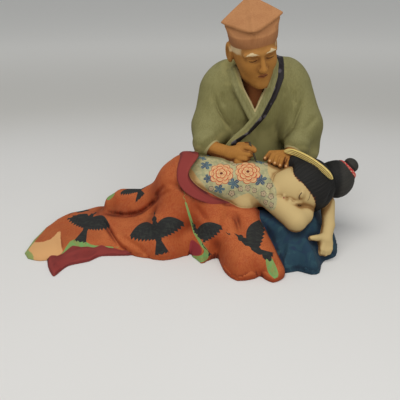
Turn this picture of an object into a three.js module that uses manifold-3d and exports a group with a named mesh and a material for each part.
// A tattooist kneeling over a reclining figure, one group in fired and painted clay.
// Millimetres, +Z up, X along the group, the front towards -Y, standing on z = 0.
// The clay is built up as a sculptor does it: rounded limbs and masses that run into each
// other, then collars, folds and fingers on top. Each form is a distance function of a
// point, negative inside the clay. The free form is drawn at drawnLength and scaled to
// groupLength, so pose and carving are shares of the length. Needle and comb keep their own sizes.

import * as THREE from 'three';
import Module from 'manifold-3d';

// Driving dimensions
const groupLength = 338;
const needleLength = 22;
const needleDiameter = 1.7;
const needleTipShare = 0.8;
const combThickness = 2.4;
const combDepth = 6.5;
const fitGap = 0.3;

// The length at which the free form is drawn below
const drawnLength = 338;
const unit = groupLength / drawnLength;

// Fineness of the faceted clay
const clayCell = 2.5;
const clayTriangles = 9000;

// Forms as distance functions
const mix = (a, b, t) => a + (b - a) * t;
const unitShare = (t) => Math.min(1, Math.max(0, t));
const smoothStep = (from, to, v) => {
  const t = unitShare((v - from) / (to - from));
  return t * t * (3 - 2 * t);
};

const softMin = (a, b, k) => {
  const h = Math.max(k - Math.abs(a - b), 0) / k;
  return Math.min(a, b) - h * h * k * 0.25;
};
const softMax = (a, b, k) => -softMin(-a, -b, k);

function limb(a, b, ra, rb = ra) {
  const [ax, ay, az] = a;
  const dx = b[0] - ax;
  const dy = b[1] - ay;
  const dz = b[2] - az;
  const dd = dx * dx + dy * dy + dz * dz;
  return (x, y, z) => {
    const t = unitShare(((x - ax) * dx + (y - ay) * dy + (z - az) * dz) / dd);
    const ex = x - ax - t * dx;
    const ey = y - ay - t * dy;
    const ez = z - az - t * dz;
    return Math.sqrt(ex * ex + ey * ey + ez * ez) - mix(ra, rb, t);
  };
}

function blob(centre, radii) {
  const [cx, cy, cz] = centre;
  const [rx, ry, rz] = radii;
  return (x, y, z) => {
    const px = (x - cx) / rx;
    const py = (y - cy) / ry;
    const pz = (z - cz) / rz;
    const near = Math.sqrt(px * px + py * py + pz * pz);
    const steep = Math.sqrt((px / rx) ** 2 + (py / ry) ** 2 + (pz / rz) ** 2);
    return steep < 1e-9 ? -Math.min(rx, ry, rz) : (near * (near - 1)) / steep;
  };
}

const blend = (k, ...forms) => (x, y, z) => {
  let d = forms[0](x, y, z);
  for (let i = 1; i < forms.length; i += 1) d = softMin(d, forms[i](x, y, z), k);
  return d;
};

const without = (k, form, hollow) => (x, y, z) => -softMin(-form(x, y, z), hollow(x, y, z), k);

const chain = (points, radii) => {
  const parts = points.slice(1).map((p, i) => limb(points[i], p, radii[i], radii[i + 1]));
  return (x, y, z) => {
    let d = Infinity;
    for (const part of parts) d = Math.min(d, part(x, y, z));
    return d;
  };
};

// A fold is a line on the cloth along which the surface sinks by its depth, or rises if negative
const fold = (points, depth, width) => {
  const parts = points.slice(1).map((p, i) => limb(points[i], p, 0));
  return (x, y, z) => {
    let d = Infinity;
    for (const part of parts) d = Math.min(d, part(x, y, z));
    return d > 3 * width ? 0 : depth * Math.exp(-((d / width) ** 2));
  };
};

const folded = (form, folds) => (x, y, z) => {
  let d = form(x, y, z);
  if (Math.abs(d) > 14) return d;
  for (const line of folds) d += line(x, y, z);
  return d;
};

// A form drawn in a turned frame: inside it x runs to its own right, y forward and z up
function turned(origin, forward, up, form) {
  const f = new THREE.Vector3(...forward).normalize();
  const r = new THREE.Vector3().crossVectors(f, new THREE.Vector3(...up)).normalize();
  const u = new THREE.Vector3().crossVectors(r, f);
  const [ox, oy, oz] = origin;
  return (x, y, z) => {
    const px = x - ox;
    const py = y - oy;
    const pz = z - oz;
    return form(
      px * r.x + py * r.y + pz * r.z,
      px * f.x + py * f.y + pz * f.z,
      px * u.x + py * u.y + pz * u.z,
    );
  };
}

// Cloth lying on the floor: inside a closed outline it rises from a rounded rim to its height
function spread(outline, rim, height) {
  const count = outline.length;
  return (x, y, z) => {
    let inside = false;
    let edge = Infinity;
    for (let i = 0, j = count - 1; i < count; j = i, i += 1) {
      const [ax, ay] = outline[i];
      const [bx, by] = outline[j];
      const dx = bx - ax;
      const dy = by - ay;
      const t = unitShare(((x - ax) * dx + (y - ay) * dy) / (dx * dx + dy * dy));
      edge = Math.min(edge, Math.sqrt((x - ax - t * dx) ** 2 + (y - ay - t * dy) ** 2));
      if (ay > y !== by > y && x < ax + ((y - ay) * dx) / dy) inside = !inside;
    }
    if (!inside) return Math.sqrt(edge ** 2 + Math.max(z - rim, 0) ** 2);
    const risen = height(x, y) * (1 - Math.exp(-edge / (2.2 * rim)));
    const top = risen + 0.8 * rim * Math.min(1, edge / rim);
    return Math.max(z - top, -edge) * 0.8;
  };
}

// The tattooist's head, drawn in its own frame round a centre between the ears
const manHead = { centre: [54, 30, 186], forward: [0.1, -0.97, -0.2], up: [-0.14, -0.21, 0.97] };

function tattooistHead() {
  const skull = blend(10,
    blob([0, -2, 6], [24, 28, 27]),
    blob([0, 6, -12], [20.5, 20, 24]),
    limb([0, 14, -29], [0, 8, -24], 6.5, 12),
  );
  const nose = blend(2.5,
    limb([0, 24.5, 2], [0, 29, -10.5], 2.2, 3.1),
    limb([-2.6, 27, -11], [2.6, 27, -11], 2.3),
  );
  const brow = chain(
    [[-15, 21, 4.5], [-7, 25.4, 6.2], [0, 25.2, 4], [7, 25.4, 6.2], [15, 21, 4.5]],
    [2, 2.6, 2, 2.6, 2],
  );
  const cheeks = blend(3, blob([-12, 17, -9], [8, 7.5, 8]), blob([12, 17, -9], [8, 7.5, 8]));
  const lips = chain([[-5, 23.2, -18.4], [0, 25.2, -18], [5, 23.2, -18.4]], [1.3, 2.2, 1.3]);
  const chin = blob([0, 20, -29], [7, 5.5, 5.5]);
  const sockets = blend(1, blob([-8.6, 27, 0], [6, 4.4, 3]), blob([8.6, 27, 0], [6, 4.4, 3]));
  const lids = blend(1, blob([-8.6, 21.4, -0.4], [5, 3.4, 2.8]), blob([8.6, 21.4, -0.4], [5, 3.4, 2.8]));
  const ear = (side) => {
    const shell = blob([side * 24.5, -2, 0], [3.2, 6.5, 10]);
    return without(1.5, shell, blob([side * 28, -0.5, 1], [2.6, 4, 7]));
  };
  let face = blend(5, skull, cheeks);
  face = blend(3, face, brow, chin);
  face = without(3, face, sockets);
  face = blend(1.6, face, lids, nose, lips);
  face = blend(2, face, ear(-1), ear(1));
  return turned(manHead.centre, manHead.forward, manHead.up, face);
}

// A soft cap: a rolled band round the brow, and a crown that widens to a four-cornered top
function cap() {
  const brim = { height: 12, tilt: 0.09, halfWidth: 25.5, halfDepth: 29 };
  const top = { corner: 32, height: 34, backRise: 0.34, sideFall: 0.05, seam: 1.6 };
  const shape = (x, yHead, z) => {
    const y = yHead + 3;
    const rise = unitShare((z - brim.height) / 21);
    const flare = rise * (0.35 + 0.65 * rise);
    const power = mix(2, 1.25, flare);
    const wide = mix(brim.halfWidth, top.corner, flare);
    const deep = mix(brim.halfDepth, top.corner, flare);
    const round = (Math.abs(x / wide) ** power + Math.abs(y / deep) ** power) ** (1 / power);
    const seam = top.seam * Math.exp(-((x / 3.5) ** 2)) * smoothStep(-20, 20, Math.abs(y) * 2);
    const lid = top.height - top.backRise * y - top.sideFall * Math.abs(x) + seam;
    const side = (round - 1) * 22;
    const bottom = brim.height - 2.5 - z - brim.tilt * Math.abs(x);
    return softMax(softMax(side, z - lid, 2), bottom, 3);
  };
  const band = (x, yHead, z) => {
    const share = Math.sqrt((x / brim.halfWidth) ** 2 + ((yHead + 3) / brim.halfDepth) ** 2);
    const round = (share - 1) * 26;
    const off = (z - brim.height - brim.tilt * Math.abs(x)) * 0.7;
    return Math.sqrt(round * round + off * off) - 2;
  };
  const capForward = [0.26, -0.94, -0.2];
  return turned(manHead.centre, capForward, manHead.up, blend(3, shape, band));
}

// Sleeves, body and collar of the robe
const robePoints = {
  neckBack: [56, 64, 168],
  neckLeft: [36, 44, 165],
  neckRight: [75, 44, 167],
  collarBottom: [55, 15, 127],
  overlapEnd: [35, 12, 102],
};

function robe() {
  const { neckBack, neckLeft, neckRight, collarBottom, overlapEnd } = robePoints;
  const trunk = blend(16,
    blob([56, 54, 120], [43, 36, 46]),
    blob([57, 60, 66], [44, 38, 50]),
    limb([30, 52, 141], [82, 52, 142], 20),
    limb([38, 55, 150], [76, 55, 153], 16, 16),
  );
  const upperSleeves = blend(8,
    limb([22, 50, 138], [13, 36, 106], 23, 22),
    limb([91, 50, 139], [106, 36, 106], 23, 22),
  );
  const lowerSleeves = blend(8,
    limb([11, 36, 104], [14, 10, 93], 19, 12.5),
    limb([107, 36, 104], [101, 12, 92], 20, 13.5),
    limb([106, 34, 100], [113, 30, 86], 19, 14),
  );
  const neck = blob([55, 34, 158], [17, 17, 30]);
  const collar = blend(2,
    chain([neckBack, neckLeft, [44, 22, 146], collarBottom], [3.2, 3.2, 2.8, 2.2]),
    chain([neckBack, neckRight, [67, 22, 148], collarBottom, overlapEnd], [3.2, 3.2, 2.8, 2.4, 1.4]),
  );
  const cloth = without(5, blend(10, trunk, upperSleeves, lowerSleeves), neck);
  const folds = [
    fold([[32, 30, 136], [30, 22, 116], [33, 14, 98]], 3.2, 4.5),
    fold([[26, 24, 124], [20, 16, 108], [22, 12, 98]], 1.6, 3.5),
    fold([[84, 28, 138], [90, 20, 118], [86, 13, 98]], 3.2, 4.5),
    fold([[92, 26, 126], [99, 18, 110], [98, 12, 98]], 1.8, 3.5),
    fold([[2, 40, 120], [0, 28, 108], [6, 16, 102]], 1.4, 4),
    fold([[116, 42, 122], [120, 30, 106], [112, 18, 100]], 1.4, 4),
    fold([[40, 86, 150], [46, 92, 110], [40, 92, 70]], 2, 6),
    fold([[72, 86, 150], [68, 92, 110], [76, 92, 70]], 2, 6),
  ];
  return strapped(blend(2.5, folded(cloth, folds), collar));
}

// A strap over the shoulder, a flat band raised on the cloth of the chest and the back
const strap = {
  halfWidth: 2.5,
  raised: 0.9,
  front: [[78, 183], [83, 174], [82, 158], [75, 139], [64, 123], [48, 104], [33, 94], [10, 88]],
  back: [[80, 180], [78, 160], [62, 130], [36, 104], [10, 88]],
};

function strapped(cloth) {
  const line = (points) => {
    const flat = points.map(([x, z]) => [x, 0, z]);
    return chain(flat, flat.map(() => 0));
  };
  const onChest = line(strap.front);
  const onBack = line(strap.back);
  const middle = 52;
  return (x, y, z) => {
    const d = cloth(x, y, z);
    if (Math.abs(d) > 8) return d;
    const off = (y < middle ? onChest : onBack)(x, 0, z);
    return d - strap.raised * (1 - smoothStep(strap.halfWidth - 0.7, strap.halfWidth + 0.7, off));
  };
}

// Bare forearms and hands of the tattooist
function workingArms() {
  const neck = limb([56, 34, 165], [56, 44, 132], 12, 17);
  const throat = limb([57, 26, 152], [55, 26, 130], 7, 8);
  const needleArm = chain([[6, 14, 93], [22, 2, 88], [32, -4, 87]], [10, 7.2, 7.4]);
  const needleFist = blend(4,
    blob([38, -6, 88], [9, 8.5, 8]),
    limb([32, -5, 87], [40, -7, 90], 7, 7),
  );
  const fingers = [
    chain([[41, -7, 95], [48, -12, 96.5], [54, -12, 94]], [3.2, 3, 2.6]),
    chain([[42, -12, 90], [48, -14.5, 90.5], [51, -11, 89]], [3.3, 3.1, 2.8]),
    chain([[40, -13.5, 86], [45, -15.5, 86], [47.5, -12, 85]], [3.3, 3.1, 2.8]),
    chain([[37, -14, 82], [41, -15, 81.5], [43.5, -12, 81.5]], [3.2, 3, 2.6]),
    chain([[40, 0, 95], [47, -5, 97.5], [53, -9.5, 95]], [3.4, 3, 2.6]),
  ];
  const restingArm = chain([[100, 16, 91], [93, 5, 87], [87, -1, 85]], [11, 7.5, 7.5]);
  const palm = blend(4, blob([84, -2, 84.5], [10, 9, 5.5]), limb([88, -1, 85], [78, -4, 84], 6, 5.5));
  const restingFingers = [0, 1, 2, 3].map((i) => {
    const across = i - 1.5;
    const out = Math.abs(across);
    const knuckle = [77 - 0.6 * out, -3.5 - 4.6 * across, 85.5 - 1.2 * out + 1.4 * across];
    const middle = [knuckle[0] - 6.5, knuckle[1] - 2.4, knuckle[2] - 0.5];
    const tip = [knuckle[0] - 11, knuckle[1] - 4.2, knuckle[2] - 3.2];
    return chain([knuckle, middle, tip], [3, 2.8, 2.3]);
  });
  const thumb = chain([[86, -9, 84], [79, -13, 81.5], [73, -14.5, 79.5]], [3.6, 3.1, 2.6]);
  return blend(2,
    blend(6, neck, throat),
    blend(3, needleArm, needleFist),
    blend(3, restingArm, palm),
    ...fingers,
    ...restingFingers,
    thumb,
  );
}

// The reclining figure's back, breast and arms
function recliningBody() {
  const back = chain([[-14, -3, 60], [18, -7, 58], [46, -9, 57], [62, -12, 57]], [25, 25.5, 26, 23]);
  const shoulderBlade = blob([50, -16, 70], [17, 13, 11]);
  const breast = blob([44, -27, 44], [12, 12, 11]);
  const shoulder = blob([65, -24, 59], [14, 13, 14]);
  const upperArm = limb([67, -28, 55], [92, -58, 39.5], 13.5, 10.5);
  const foreArm = chain([[92, -58, 39.5], [105, -50, 42], [118, -34, 42]], [10.5, 9.5, 7.5]);
  const neck = limb([66, -12, 66], [88, -14, 66], 12, 11);
  const farArm = chain([[122, -12, 50], [131, -24, 44], [128, -42, 27]], [10, 8, 6]);
  const farHand = blend(2.5,
    chain([[127.5, -43, 26], [124.5, -49, 18]], [6, 6]),
    blob([124.5, -50, 16], [7.5, 5.5, 8]),
    chain([[120, -50, 18], [114, -55, 17.5], [110.5, -57, 19]], [3.6, 3, 2.4]),
    chain([[128.5, -51.5, 13], [128, -54, 8], [127, -55, 3.5]], [3.1, 2.8, 2.3]),
    chain([[124.5, -52.5, 11], [124.5, -55.5, 6], [123.5, -56.5, 2.5]], [3.2, 2.9, 2.4]),
    chain([[120.5, -52.5, 12], [120.5, -55.5, 7.5], [119.5, -56.5, 4]], [3.1, 2.8, 2.3]),
  );
  const spine = fold([[-10, -10, 88], [20, -14, 86], [46, -12, 84]], 1.6, 5);
  const form = blend(6,
    folded(blend(8, back, shoulderBlade, breast), [spine]),
    blend(6, shoulder, upperArm),
    neck,
  );
  return blend(2.5, form, foreArm, farArm, farHand);
}

// The reclining figure's head lies with its crown towards +X, the face looking down and to the front
const womanHead = {
  centre: [101, -27, 59],
  forward: [-0.12, -0.72, -0.68],
  up: [0.985, -0.06, -0.12],
};

function recliningFace() {
  const skull = blend(8,
    blob([0, -3, 4], [22.5, 26, 27]),
    blob([0, 4, -12], [18, 18, 20]),
    limb([0, 12, -27], [0, 6, -22], 5.5, 10),
  );
  const nose = blend(2.5,
    limb([0, 21, 0], [0, 25.5, -10], 1.7, 2.4),
    limb([-1.8, 23.6, -10.6], [1.8, 23.6, -10.6], 1.8),
  );
  const lips = chain([[-4, 20.8, -17], [0, 22.6, -16.8], [4, 20.8, -17]], [1.1, 1.9, 1.1]);
  const chin = blob([0, 17, -26], [6, 5, 5]);
  const pair = (x, y, z, radii) => blend(1, blob([-x, y, z], radii), blob([x, y, z], radii));
  const lids = pair(8, 18.4, -1.5, [4.6, 3.4, 2.6]);
  const sockets = pair(8, 24, -0.5, [5.4, 3.8, 3]);
  let face = without(3, blend(3, skull, chin), sockets);
  face = blend(1.8, face, lids, nose, lips);
  return turned(womanHead.centre, womanHead.forward, womanHead.up, face);
}

// Hair drawn back over the head to a bun and a tied knot
const hairline = { low: -12.5, temple: -4.5, forward: 3.6, slope: 0.93 };

function hair() {
  const crown = (x, y, z) => {
    const cover = blob([0, -5, 4], [25.5, 28.5, 29.5])(x, y, z);
    const front = y - hairline.forward - hairline.slope * Math.max(0, z - hairline.temple);
    return softMax(softMax(cover, front * 0.8, 1.5), hairline.low - z, 1.5);
  };
  const bun = blend(5, blob([138.5, -12, 60.5], [18, 18, 18.5]), blob([130, -8, 60], [10, 15, 14]));
  const napeRoll = blob([96, -15, 81], [9, 10, 8.5]);
  const parting = fold(
    [[124, -2, 80], [125.5, -20, 77], [126, -36, 66], [124, -46, 52], [121, -46, 44]], 3, 3,
  );
  const head = turned(womanHead.centre, womanHead.forward, womanHead.up, crown);
  const tie = chain([[146, -9, 71], [150, -7, 75.5]], [7.5, 6.2]);
  const knot = blob([154, -6, 77.5], [8, 8, 8]);
  return blend(1.6, folded(blend(1.5, blend(3, head, napeRoll), bun), [parting]), blend(1, tie, knot));
}

// The kimono: hips and legs under cloth, a long tail and lobes spread on the floor
const kimonoOutline = [
  [-176, -54], [-169, -4], [-148, 26], [-118, 42], [-80, 52], [-30, 52], [10, 46], [60, 20], [66, -40],
  [78, -84], [76, -98], [68, -105], [58, -98], [46, -97], [34, -102], [24, -88], [18, -68], [2, -72],
  [-17, -70], [-34, -64], [-50, -61], [-71, -58], [-82, -45], [-101, -43], [-118, -38], [-129, -45],
  [-136, -57], [-150, -67], [-161, -67],
];
const liningOutline = [
  [-150, -60], [-138, -93], [-133, -91], [-126, -77], [-108, -69], [-97, -59], [-72, -58], [-60, -50],
  [-70, -30], [-130, -30],
];

// The kimono stops at the waist, furthest towards the tail at waistHeight
const waistHeight = 75;
const waistAt = (z) => -17 + 0.052 * (waistHeight - z) ** 2;

function kimono() {
  const height = (x, y) => {
    const towardHips = smoothStep(-120, -20, x);
    const far = smoothStep(10, 54, y);
    const crown = 7 * Math.exp(-(((y + 6 + 0.5 * (x + 110)) / 20) ** 2));
    const tail = 3.5 + 3 * smoothStep(-176, -140, x) + crown * (1 - towardHips);
    return tail + 17 * towardHips * (1 - 0.5 * far);
  };
  const floorCloth = spread(kimonoOutline, 3.6, height);
  const lining = spread(liningOutline, 2.2, (x) => 2.6 + 1.2 * Math.sin(x / 5));
  const hips = blend(14,
    blob([-12, -6, 46], [30, 32, 34]),
    limb([-12, -8, 52], [4, -22, 44], 26, 21),
    limb([-12, -20, 42], [-32, -38, 24], 24, 17),
  );
  const waist = (x, y, z) => softMax(hips(x, y, z), (x - waistAt(z)) * 0.8, 4);
  const legs = chain([[-26, 2, 40], [-62, 12, 28], [-84, 18, 25], [-95, 20, 20]], [26, 16, 14, 11]);
  const frontLap = chain([[4, -26, 38], [30, -56, 14], [42, -84, 2]], [20, 17, 15]);
  const secondLap = chain([[30, -30, 30], [54, -66, 12], [70, -92, 2]], [18, 15, 11]);
  const folds = [
    fold([[14, -38, 54], [15, -50, 38], [16, -58, 24], [18, -70, 4]], 6, 4.5),
    fold([[-8, -44, 46], [-8, -56, 30], [0, -68, 10]], -2.2, 5),
    fold([[30, -38, 46], [44, -54, 30], [56, -72, 14], [60, -98, 2]], 4.5, 4.5),
    fold([[30, -42, 46], [34, -54, 28], [34, -76, 10]], 2.4, 4),
    fold([[-104, 5, 15], [-84, -1, 18], [-64, -6, 23], [-52, -9, 28]], 4, 5.5),
    fold([[-56, -9, 27], [-44, -8, 38], [-37, -5, 52], [-30, -6, 66]], 2.6, 4.5),
    fold([[-88, -20, 14], [-66, -26, 20], [-50, -34, 24], [-44, -56, 6]], 2.2, 6),
    fold([[-150, -24, 10], [-128, -12, 14], [-106, 2, 16]], 2, 5),
    fold([[-118, -26, 14], [-96, -22, 16], [-76, -34, 16]], 1.6, 4),
    fold([[-60, 34, 26], [-30, 40, 34], [0, 44, 40]], 2.4, 6),
    fold([[-20, -30, 60], [-30, -14, 62], [-34, 8, 60]], 2, 4),
  ];
  const body = blend(10, blend(14, waist, legs), blend(7, frontLap, secondLap), floorCloth);
  return blend(1, folded(body, folds), lining);
}

// The rolled inner band at the waist
const waistBand = () => chain(
  [
    [4, 16, 80], [-8, 8, 82], [-15, -2, 79], [-16, -12, 73], [-12, -22, 66], [-4, -30, 58], [7, -36, 52],
    [20, -38, 46],
  ],
  [4, 5, 5.6, 6, 6, 5.6, 4.8, 3.4],
);

// The tattooist's blue cloth over the knees, faceted folds down to the floor and round the back
const lapOutline = [
  [54, -48], [70, -78], [78, -90], [92, -86], [106, -93], [116, -74], [122, -62], [138, -48], [143, -20],
  [142, 30], [134, 70], [112, 96], [84, 104], [40, 104], [10, 98], [-8, 78], [-14, 44], [0, 20], [40, 0],
];

function lap() {
  const height = (x, y) => 24 + 10 * smoothStep(-20, 60, y) - 6 * smoothStep(110, 145, x);
  const drape = spread(lapOutline, 5, height);
  const knee = limb([96, -38, 22], [100, 40, 30], 22, 32);
  const otherKnee = limb([10, 20, 30], [30, 66, 34], 26, 34);
  const folds = [
    fold([[70, -58, 34], [78, -74, 18], [84, -90, 2]], 3, 5),
    fold([[96, -66, 30], [102, -78, 16], [100, -92, 2]], -3, 5),
    fold([[112, -60, 26], [114, -72, 14], [116, -78, 2]], 3.4, 5),
    fold([[126, -36, 24], [130, -50, 12], [132, -54, 2]], 2.6, 5),
    fold([[140, 10, 28], [144, 10, 4]], 2.4, 6),
    fold([[120, 84, 40], [124, 92, 4]], 2.4, 7),
    fold([[60, 98, 40], [60, 106, 4]], 2.4, 7),
    fold([[8, 90, 40], [2, 98, 4]], 2.4, 7),
  ];
  return folded(blend(14, drape, knee, otherKnee), folds);
}

// The whole group
function clayField() {
  const cloths = [robe(), kimono(), lap(), waistBand(), cap()];
  const bodies = [tattooistHead(), workingArms(), recliningBody(), recliningFace(), hair()];
  return blend(1.2, ...cloths, ...bodies);
}

// Marching tetrahedra over a lattice, each cube cut in six along its diagonal
const blockCells = 4;
const blockReach = 1.6;
const edgeMargin = 0.08;

function polygonise(field, low, high, cell) {
  const n = low.map((v, i) => Math.ceil((high[i] - v) / cell) + 1);
  const strideY = n[0];
  const strideZ = n[0] * n[1];
  const values = new Float32Array(strideZ * n[2]).fill(1);
  const at = (i, j, k) => i + j * strideY + k * strideZ;
  const block = blockCells;
  const reach = block * cell * blockReach;
  for (let k = 0; k < n[2]; k += block) {
    for (let j = 0; j < n[1]; j += block) {
      for (let i = 0; i < n[0]; i += block) {
        const half = (block * cell) / 2;
        const middle = [low[0] + i * cell + half, low[1] + j * cell + half, low[2] + k * cell + half];
        const d = field(...middle);
        const near = Math.abs(d) < reach;
        for (let c = k; c < Math.min(k + block, n[2]); c += 1) {
          for (let b = j; b < Math.min(j + block, n[1]); b += 1) {
            for (let a = i; a < Math.min(i + block, n[0]); a += 1) {
              const v = near ? field(low[0] + a * cell, low[1] + b * cell, low[2] + c * cell) : d;
              values[at(a, b, c)] = v;
            }
          }
        }
      }
    }
  }
  // The lowest layer mirrors the one above it, so that the clay is closed by a flat bottom
  for (let v = 0; v < strideZ; v += 1) values[v] = Math.abs(values[v]);
  const orders = [[0, 1, 2], [0, 2, 1], [1, 0, 2], [1, 2, 0], [2, 0, 1], [2, 1, 0]];
  const offsets = [1, strideY, strideZ];
  const whole = 1 + strideY + strideZ;
  const corners = [0, ...offsets, 1 + strideY, 1 + strideZ, strideY + strideZ, whole];
  const points = [];
  const faces = [];
  const made = new Map();
  const place = (node) => [
    low[0] + (node % strideY) * cell,
    low[1] + (Math.floor(node / strideY) % n[1]) * cell,
    low[2] + Math.floor(node / strideZ) * cell,
  ];
  const cut = (p, q) => {
    const [lo, hi] = p < q ? [p, q] : [q, p];
    const key = lo * 2 ** 24 + (hi - lo);
    if (made.has(key)) return made.get(key);
    const crossing = values[lo] / (values[lo] - values[hi]);
    const t = Math.min(1 - edgeMargin, Math.max(edgeMargin, crossing));
    const a = place(lo);
    const b = place(hi);
    points.push(a[0] + (b[0] - a[0]) * t, a[1] + (b[1] - a[1]) * t, a[2] + (b[2] - a[2]) * t);
    made.set(key, points.length / 3 - 1);
    return points.length / 3 - 1;
  };
  const emit = (a, b, c, within) => {
    const [ax, ay, az] = [points[3 * a], points[3 * a + 1], points[3 * a + 2]];
    const [ux, uy, uz] = [points[3 * b] - ax, points[3 * b + 1] - ay, points[3 * b + 2] - az];
    const [vx, vy, vz] = [points[3 * c] - ax, points[3 * c + 1] - ay, points[3 * c + 2] - az];
    const w = place(within);
    const side = (uy * vz - uz * vy) * (ax - w[0]) + (uz * vx - ux * vz) * (ay - w[1])
      + (ux * vy - uy * vx) * (az - w[2]);
    if (side > 0) faces.push(a, b, c);
    else faces.push(a, c, b);
  };
  for (let k = 0; k < n[2] - 1; k += 1) {
    for (let j = 0; j < n[1] - 1; j += 1) {
      for (let i = 0; i < n[0] - 1; i += 1) {
        const base = at(i, j, k);
        const far = base + whole;
        let negative = 0;
        for (const step of corners) if (values[base + step] < 0) negative += 1;
        if (negative === 0 || negative === corners.length) continue;
        for (const [p, q] of orders) {
          const tet = [base, base + offsets[p], base + offsets[p] + offsets[q], far];
          const inside = tet.filter((v) => values[v] < 0);
          const outside = tet.filter((v) => values[v] >= 0);
          if (inside.length === 1) {
            emit(...outside.map((o) => cut(inside[0], o)), inside[0]);
          } else if (inside.length === 3) {
            const [a, b, c] = inside.map((v) => cut(v, outside[0]));
            emit(a, b, c, inside[0]);
          } else if (inside.length === 2) {
            const ring = [[0, 0], [0, 1], [1, 1], [1, 0]].map(([s, o]) => cut(inside[s], outside[o]));
            emit(ring[0], ring[1], ring[2], inside[0]);
            emit(ring[0], ring[2], ring[3], inside[1]);
          }
        }
      }
    }
  }
  return { points: Float64Array.from(points), faces: Int32Array.from(faces) };
}

// Joins the ends of the edges that matter least until the wanted number of triangles is left.
// Each corner carries the planes around it, and an edge costs what its new corner strays from them.
const thinning = { spanCost: 1e-4, farthest: 1.5, leastDet: 1e-4, leastTurn: 0.25, sliver: 0.1 };

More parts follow.
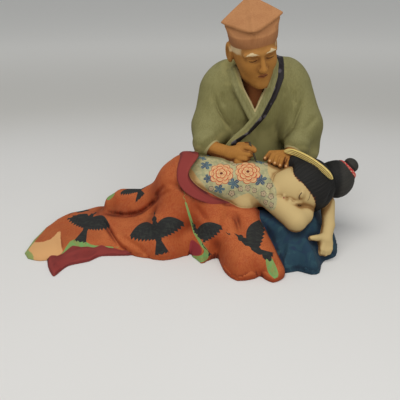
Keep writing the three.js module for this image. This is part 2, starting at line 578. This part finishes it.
function thin({ points, faces }, wanted, weightAt) {
  const count = points.length / 3;
  const quadrics = new Float64Array(count * 10);
  const around = Array.from({ length: count }, () => []);
  const alive = new Uint8Array(faces.length / 3).fill(1);
  const gap = (p, q) => (points[p] - points[q]) ** 2
    + (points[p + 1] - points[q + 1]) ** 2 + (points[p + 2] - points[q + 2]) ** 2;
  // Twice the area as a vector, and the square of the longest side
  const measure = (f) => {
    const a = 3 * faces[3 * f];
    const b = 3 * faces[3 * f + 1];
    const c = 3 * faces[3 * f + 2];
    const ux = points[b] - points[a];
    const uy = points[b + 1] - points[a + 1];
    const uz = points[b + 2] - points[a + 2];
    const vx = points[c] - points[a];
    const vy = points[c + 1] - points[a + 1];
    const vz = points[c + 2] - points[a + 2];
    const span = Math.max(gap(a, b), gap(b, c), gap(c, a));
    return { x: uy * vz - uz * vy, y: uz * vx - ux * vz, z: ux * vy - uy * vx, span };
  };
  const sizeOf = (n) => Math.sqrt(n.x * n.x + n.y * n.y + n.z * n.z);
  for (let f = 0; f < alive.length; f += 1) {
    const n = measure(f);
    const size = sizeOf(n) || 1e-12;
    const x = n.x / size;
    const y = n.y / size;
    const z = n.z / size;
    const a = 3 * faces[3 * f];
    const d = -(x * points[a] + y * points[a + 1] + z * points[a + 2]);
    const w = size * weightAt(points[a], points[a + 1], points[a + 2]);
    const q = [x * x, x * y, x * z, x * d, y * y, y * z, y * d, z * z, z * d, d * d];
    for (let i = 0; i < 3; i += 1) {
      const v = faces[3 * f + i];
      around[v].push(f);
      for (let j = 0; j < 10; j += 1) quadrics[10 * v + j] += q[j] * w;
    }
  }
  const priced = (a, b) => {
    const q = [];
    for (let i = 0; i < 10; i += 1) q.push(quadrics[10 * a + i] + quadrics[10 * b + i]);
    const [xx, xy, xz, xd, yy, yz, yd, zz, zd, dd] = q;
    let x = (points[3 * a] + points[3 * b]) / 2;
    let y = (points[3 * a + 1] + points[3 * b + 1]) / 2;
    let z = (points[3 * a + 2] + points[3 * b + 2]) / 2;
    const spanSquare = gap(3 * a, 3 * b);
    const det = xx * (yy * zz - yz * yz) - xy * (xy * zz - yz * xz) + xz * (xy * yz - yy * xz);
    if (Math.abs(det) > thinning.leastDet * ((xx + yy + zz) / 3) ** 3) {
      const sx = -(xd * (yy * zz - yz * yz) - xy * (yd * zz - yz * zd) + xz * (yd * yz - yy * zd)) / det;
      const sy = -(xx * (yd * zz - zd * yz) - xd * (xy * zz - yz * xz) + xz * (xy * zd - yd * xz)) / det;
      const sz = -(xx * (yy * zd - yz * yd) - xy * (xy * zd - yd * xz) + xd * (xy * yz - yy * xz)) / det;
      const off = (sx - x) ** 2 + (sy - y) ** 2 + (sz - z) ** 2;
      if (off < thinning.farthest ** 2 * spanSquare) {
        x = sx;
        y = sy;
        z = sz;
      }
    }
    const stray = xx * x * x + yy * y * y + zz * z * z + dd
      + 2 * (xy * x * y + xz * x * z + yz * y * z + xd * x + yd * y + zd * z);
    return { a, b, x, y, z, cost: stray + thinning.spanCost * spanSquare };
  };
  // A binary heap of edges, each with the ends' ages, so that stale ones are passed over
  const heap = [];
  const age = new Int32Array(count);
  const less = (i, j) => heap[i].cost < heap[j].cost;
  const swap = (i, j) => {
    const kept = heap[i];
    heap[i] = heap[j];
    heap[j] = kept;
  };
  const push = (edge) => {
    heap.push(edge);
    let i = heap.length - 1;
    while (i > 0 && less(i, (i - 1) >> 1)) {
      swap(i, (i - 1) >> 1);
      i = (i - 1) >> 1;
    }
  };
  const pop = () => {
    const first = heap[0];
    const last = heap.pop();
    if (heap.length > 0) {
      heap[0] = last;
      let i = 0;
      for (;;) {
        const child = 2 * i + 1;
        let smallest = i;
        if (child < heap.length && less(child, smallest)) smallest = child;
        if (child + 1 < heap.length && less(child + 1, smallest)) smallest = child + 1;
        if (smallest === i) break;
        swap(i, smallest);
        i = smallest;
      }
    }
    return first;
  };
  const offer = (a, b) => {
    const edge = priced(a, b);
    edge.ageA = age[a];
    edge.ageB = age[b];
    push(edge);
  };
  const neighbours = (v) => {
    const found = [];
    for (const f of around[v]) {
      for (let i = 0; i < 3; i += 1) {
        const w = faces[3 * f + i];
        if (w !== v && !found.includes(w)) found.push(w);
      }
    }
    return found;
  };
  const holds = (f, v) => faces[3 * f] === v || faces[3 * f + 1] === v || faces[3 * f + 2] === v;
  const move = (v, x, y, z) => {
    points[3 * v] = x;
    points[3 * v + 1] = y;
    points[3 * v + 2] = z;
  };
  // Whether moving a corner would turn a triangle over or draw it out into a sliver
  const spoils = (v, other, { x, y, z }) => {
    const home = [points[3 * v], points[3 * v + 1], points[3 * v + 2]];
    const kept = around[v].filter((f) => !holds(f, other));
    const before = kept.map(measure);
    move(v, x, y, z);
    const after = kept.map(measure);
    move(v, ...home);
    return before.some((was, i) => {
      const is = after[i];
      const sizeWas = sizeOf(was);
      const sizeIs = sizeOf(is);
      const turn = was.x * is.x + was.y * is.y + was.z * is.z;
      const thinner = sizeIs / is.span < sizeWas / was.span;
      const overturned = turn < thinning.leastTurn * sizeWas * sizeIs;
      return overturned || (thinner && sizeIs < thinning.sliver * is.span);
    });
  };
  for (let v = 0; v < count; v += 1) for (const w of neighbours(v)) if (v < w) offer(v, w);
  let left = alive.length;
  while (left > wanted && heap.length > 0) {
    const edge = pop();
    const { a, b } = edge;
    if (age[a] !== edge.ageA || age[b] !== edge.ageB || age[a] < 0 || age[b] < 0) continue;
    const nearB = neighbours(b);
    const shared = neighbours(a).filter((v) => nearB.includes(v)).length;
    if (shared !== 2 || spoils(a, b, edge) || spoils(b, a, edge)) continue;
    move(a, edge.x, edge.y, edge.z);
    for (let i = 0; i < 10; i += 1) quadrics[10 * a + i] += quadrics[10 * b + i];
    for (const f of around[b]) {
      if (holds(f, a)) {
        alive[f] = 0;
        left -= 1;
        for (let i = 0; i < 3; i += 1) {
          const v = faces[3 * f + i];
          if (v !== b) around[v] = around[v].filter((other) => other !== f);
        }
      } else {
        for (let i = 0; i < 3; i += 1) if (faces[3 * f + i] === b) faces[3 * f + i] = a;
        around[a].push(f);
      }
    }
    around[b] = [];
    age[b] = -1;
    age[a] += 1;
    for (const v of neighbours(a)) offer(a, v);
  }
  const number = new Map();
  const keptPoints = [];
  const keptFaces = [];
  for (let f = 0; f < alive.length; f += 1) {
    if (!alive[f]) continue;
    for (let i = 0; i < 3; i += 1) {
      const v = faces[3 * f + i];
      if (!number.has(v)) {
        number.set(v, keptPoints.length / 3);
        keptPoints.push(points[3 * v], points[3 * v + 1], points[3 * v + 2]);
      }
      keptFaces.push(number.get(v));
    }
  }
  return { points: keptPoints, faces: keptFaces };
}

// Heads and hands keep more of the triangles
const fineSpots = [
  [manHead.centre, 38],
  [womanHead.centre, 36],
  [[44, -8, 90], 20],
  [[80, -4, 84], 20],
  [[122, -50, 14], 14],
];
const fineWeight = 8;
const weightAt = (x, y, z) => {
  const near = ([c, r]) => (x - c[0]) ** 2 + (y - c[1]) ** 2 + (z - c[2]) ** 2 < r * r;
  return fineSpots.some(near) ? fineWeight : 1;
};

const wasm = await Module();
wasm.setup();

const toSolid = (points, faces) => new wasm.Manifold(new wasm.Mesh({
  numProp: 3,
  vertProperties: Float32Array.from(points),
  triVerts: Uint32Array.from(faces),
}));

function solidOfGeometry(geometry) {
  const flat = geometry.toNonIndexed();
  const position = flat.getAttribute('position');
  const number = new Map();
  const points = [];
  const faces = [];
  for (let i = 0; i < position.count; i += 1) {
    const p = [position.getX(i), position.getY(i), position.getZ(i)];
    const key = p.map((v) => Math.round(v * 1e4)).join();
    if (!number.has(key)) {
      number.set(key, points.length / 3);
      points.push(...p);
    }
    faces.push(number.get(key));
  }
  return toSolid(points, faces);
}

function geometryOfSolid(solid) {
  const { vertProperties, triVerts } = solid.getMesh();
  const geometry = new THREE.BufferGeometry();
  geometry.setAttribute('position', new THREE.BufferAttribute(Float32Array.from(vertProperties), 3));
  geometry.setIndex(Array.from(triVerts));
  geometry.computeVertexNormals();
  return geometry;
}

// The needle: a round stick held in a bore through the fist, its tip just clear of the skin
const needleTip = new THREE.Vector3(56.6, -14, 82.2).multiplyScalar(unit);
const needleWay = new THREE.Vector3(-5.2, 2, 13.5).normalize();
const needleSides = 10;

function needleGeometry(clearance) {
  const length = needleLength + 2 * clearance;
  const radius = needleDiameter / 2;
  const tipRadius = radius * needleTipShare;
  const stick = new THREE.CylinderGeometry(radius + clearance, tipRadius + clearance, length, needleSides);
  stick.rotateX(Math.PI / 2);
  const turn = new THREE.Quaternion().setFromUnitVectors(new THREE.Vector3(0, 0, 1), needleWay);
  stick.applyQuaternion(turn);
  const middle = needleTip.clone().addScaledVector(needleWay, needleLength / 2);
  stick.translate(middle.x, middle.y, middle.z);
  return stick;
}

// The comb: a curved strip that stands on edge in the hair, from the nape over to the bun
const combLine = [
  [84.5, -9, 92.2], [92, -13, 92.8], [107, -28.5, 90], [121, -38.3, 81.5], [127.3, -40, 74.8],
];
const combHeart = new THREE.Vector3(106, -26, 61);
const combStations = 14;
const combSection = [
  [1, 0.6], [0.6, 1], [-0.6, 1], [-1, 0.6], [-1, -0.6], [-0.6, -1], [0.6, -1], [1, -0.6],
];
const combEndShare = 0.12;

function combGeometry(clearance) {
  const route = combLine.map((p) => new THREE.Vector3(...p).multiplyScalar(unit));
  const heart = combHeart.clone().multiplyScalar(unit);
  const curve = new THREE.CatmullRomCurve3(route, false, 'centripetal');
  const corners = [];
  for (let i = 0; i <= combStations; i += 1) {
    const share = i / combStations;
    const along = curve.getTangentAt(share);
    const centre = curve.getPointAt(share).addScaledVector(along, clearance * (2 * share - 1));
    const out = centre.clone().sub(heart);
    out.addScaledVector(along, -out.dot(along)).normalize();
    const across = new THREE.Vector3().crossVectors(along, out);
    const taper = Math.sqrt(Math.max(combEndShare, 1 - Math.abs(2 * share - 1) ** 6));
    const halfDepth = (combDepth / 2) * taper + clearance;
    const halfThick = combThickness / 2 + clearance;
    for (const [a, b] of combSection) {
      const corner = centre.clone().addScaledVector(out, a * halfDepth);
      corners.push(corner.addScaledVector(across, b * halfThick));
    }
  }
  const sides = combSection.length;
  const faces = [];
  for (let i = 0; i < combStations; i += 1) {
    for (let j = 0; j < sides; j += 1) {
      const a = i * sides + j;
      const b = i * sides + ((j + 1) % sides);
      faces.push(a, b, b + sides, a, b + sides, a + sides);
    }
  }
  const last = combStations * sides;
  for (let j = 1; j < sides - 1; j += 1) faces.push(0, j + 1, j, last, last + j, last + j + 1);
  const geometry = new THREE.BufferGeometry();
  const values = corners.flatMap((p) => p.toArray());
  geometry.setAttribute('position', new THREE.BufferAttribute(Float32Array.from(values), 3));
  geometry.setIndex(faces);
  return geometry;
}

// The clay runs straight down past the floor and is then cut off there, so that its foot is flat.
// No corner is left so near the cut that it would leave slivers.
const clayBox = { low: [-182, -112, -5], high: [166, 112, 248] };
const footHeight = 0.4;
const clearOfCut = 0.5;

function clayGroup() {
  const field = clayField();
  const onFloor = (x, y, z) => field(x, y, Math.max(z, footHeight));
  const fine = polygonise(onFloor, clayBox.low, clayBox.high, clayCell);
  const { points, faces } = thin(fine, clayTriangles, weightAt);
  const scaled = points.map((v, i) => {
    const besideCut = i % 3 === 2 && Math.abs(v) < clearOfCut;
    return unit * (besideCut ? clearOfCut * Math.sign(v || 1) : v);
  });
  const floorDepth = groupLength / 8;
  const floor = new THREE.BoxGeometry(3 * groupLength, 3 * groupLength, floorDepth);
  floor.translate(0, 0, -floorDepth / 2);
  return toSolid(scaled, faces)
    .subtract(solidOfGeometry(floor))
    .subtract(solidOfGeometry(needleGeometry(fitGap)))
    .subtract(solidOfGeometry(combGeometry(fitGap)));
}

const paint = (color, roughness) => new THREE.MeshStandardMaterial({ color, roughness, metalness: 0 });
const named = (name, geometry, material) => {
  const mesh = new THREE.Mesh(geometry, material);
  mesh.name = name;
  return mesh;
};

const group = new THREE.Group();
const pieces = new THREE.Group();
pieces.add(
  named('doll_group', geometryOfSolid(clayGroup()), paint(0xa8643c, 0.8)),
  named('tattoo_needle', geometryOfSolid(solidOfGeometry(needleGeometry(0))), paint(0x2b2622, 0.5)),
  named('hair_comb', geometryOfSolid(solidOfGeometry(combGeometry(0))), paint(0xbea45a, 0.5)),
);
const middle = new THREE.Box3().setFromObject(pieces).getCenter(new THREE.Vector3());
pieces.position.set(-middle.x, -middle.y, 0);
group.add(pieces);

export default group;
